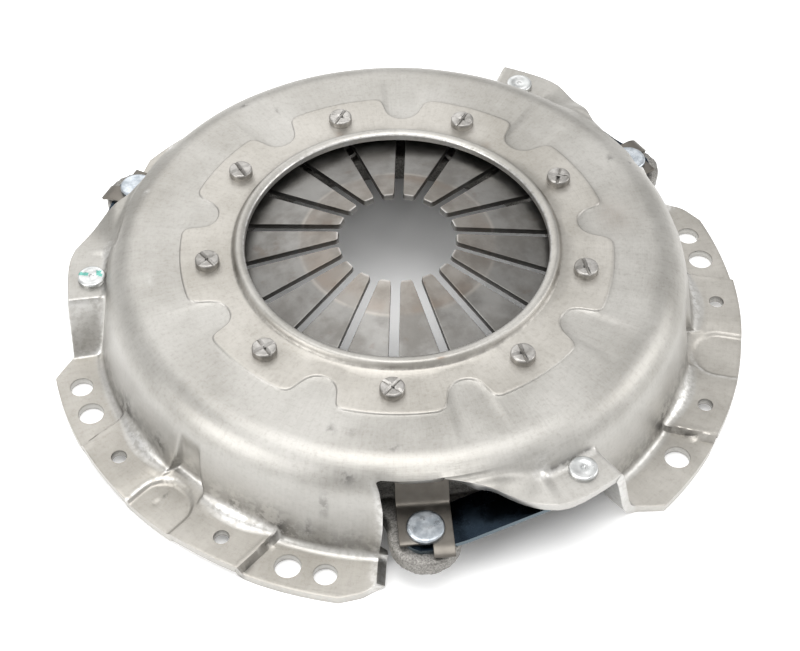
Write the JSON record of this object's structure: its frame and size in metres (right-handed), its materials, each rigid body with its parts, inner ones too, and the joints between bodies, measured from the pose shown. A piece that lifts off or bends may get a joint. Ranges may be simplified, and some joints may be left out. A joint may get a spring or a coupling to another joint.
{
  "type": "clutch pressure plate",
  "caption": "Clutch cover assembly: pressed steel cover with a slotted bolt flange, diaphragm spring, strap-driven cast pressure plate with ears and retracting clips.",
  "frame": {"origin": "on the clutch axis, in the plane of the flange faces that bolt to the flywheel", "axes": "+Z along the clutch axis, away from the flywheel towards the release bearing; +Y through the middle of one flange segment"},
  "size_m": [0.2816, 0.2739, 0.0462],
  "materials": {
    "pressed_steel": "raw pressed sheet with drawing marks",
    "spring_steel": "satin heat treated spring steel",
    "ring_wire": "drawn wire",
    "fulcrum_rivet_steel": "satin",
    "zinc_rivet_steel": "bright zinc plate",
    "blued_strap_steel": "blue-black tempered spring steel",
    "clip_steel": "satin spring steel",
    "cast_iron": "rough casting, ground friction face"
  },
  "bodies": {
    "cover": {"cover": "pressed_steel", "diaphragm_spring": "spring_steel", "fulcrum_ring_upper": "ring_wire", "fulcrum_ring_lower": "ring_wire", "fulcrum_rivet_1": "fulcrum_rivet_steel", "fulcrum_rivet_2": "fulcrum_rivet_steel", "fulcrum_rivet_3": "fulcrum_rivet_steel", "fulcrum_rivet_4": "fulcrum_rivet_steel", "fulcrum_rivet_5": "fulcrum_rivet_steel", "fulcrum_rivet_6": "fulcrum_rivet_steel", "fulcrum_rivet_7": "fulcrum_rivet_steel", "fulcrum_rivet_8": "fulcrum_rivet_steel", "fulcrum_rivet_9": "fulcrum_rivet_steel", "strap_rivet_1": "zinc_rivet_steel", "drive_strap_1_lower": "blued_strap_steel", "drive_strap_1_upper": "blued_strap_steel", "strap_rivet_2": "zinc_rivet_steel", "drive_strap_2_lower": "blued_strap_steel", "drive_strap_2_upper": "blued_strap_steel", "strap_rivet_3": "zinc_rivet_steel", "drive_strap_3_lower": "blued_strap_steel", "drive_strap_3_upper": "blued_strap_steel"},
    "pressure_plate": {"pressure_plate": "cast_iron", "retracting_clip_1": "clip_steel", "retracting_clip_2": "clip_steel", "retracting_clip_3": "clip_steel", "ear_rivet_1": "zinc_rivet_steel", "ear_rivet_2": "zinc_rivet_steel", "ear_rivet_3": "zinc_rivet_steel"}
  },
  "joints": [
    {"name": "pressure_plate_lift", "type": "slide", "parent": "cover", "child": "pressure_plate", "axis": [0, 0, 1], "range_m": [0, 0.005], "stiffness_N_per_m": 200000, "deforming": ["diaphragm_spring", "drive_strap_1_lower", "drive_strap_1_upper", "drive_strap_2_lower", "drive_strap_2_upper", "drive_strap_3_lower", "drive_strap_3_upper"]}
  ]
}
